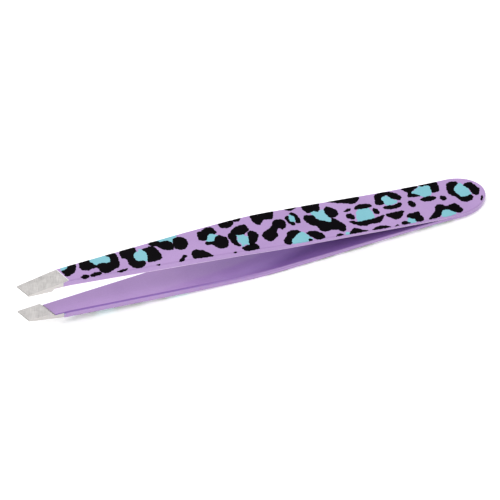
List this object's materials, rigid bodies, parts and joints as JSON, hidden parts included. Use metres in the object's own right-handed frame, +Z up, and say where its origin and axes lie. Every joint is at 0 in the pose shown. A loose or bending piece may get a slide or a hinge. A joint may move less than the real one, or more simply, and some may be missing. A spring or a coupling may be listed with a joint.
{
  "type": "slant tweezers",
  "caption": "Spring tweezers with slanted ground tips: two tapered blades welded at the tail, enamelled, with a spotted print.",
  "frame": {"origin": "centre of the footprint, on the table the tweezers lie on: they rest on the lower blade's bend and on the tail's edge", "axes": "+X from the tips to the welded tail, +Y across the blades towards the longer corner of the slanted tips, +Z up from the table"},
  "size_m": [0.0952, 0.0102, 0.0115],
  "materials": {
    "steel": "satin, ground across the tips",
    "weld_steel": "fused, inside the joint",
    "enamel": "satin lavender enamel",
    "printed_ink": "printed black and teal spots"
  },
  "bodies": {
    "heel": {"upper_blade_heel": "steel", "lower_blade_heel": "steel", "weld_nuggets": "weld_steel", "heel_enamel": "enamel", "upper_heel_print": "printed_ink", "lower_heel_print": "printed_ink"},
    "upper_arm": {"upper_blade": "steel", "upper_enamel": "enamel", "upper_print": "printed_ink"},
    "lower_arm": {"lower_blade": "steel", "lower_enamel": "enamel", "lower_print": "printed_ink"}
  },
  "joints": [
    {"name": "upper_arm_flex", "type": "hinge", "parent": "heel", "child": "upper_arm", "pos_m": [0.02063, 0, 0.00406], "axis": [0, -1, 0], "range_deg": [0, 2.63], "stiffness_Nm_per_rad": 2.3},
    {"name": "lower_arm_flex", "type": "hinge", "parent": "heel", "child": "lower_arm", "pos_m": [0.02041, 0, 0.00088], "axis": [0, 1, 0], "range_deg": [0, 2.63], "stiffness_Nm_per_rad": 2.3}
  ],
  "couplings": [
    {"joint": "lower_arm_flex", "follows": "upper_arm_flex", "ratio": 1}
  ]
}
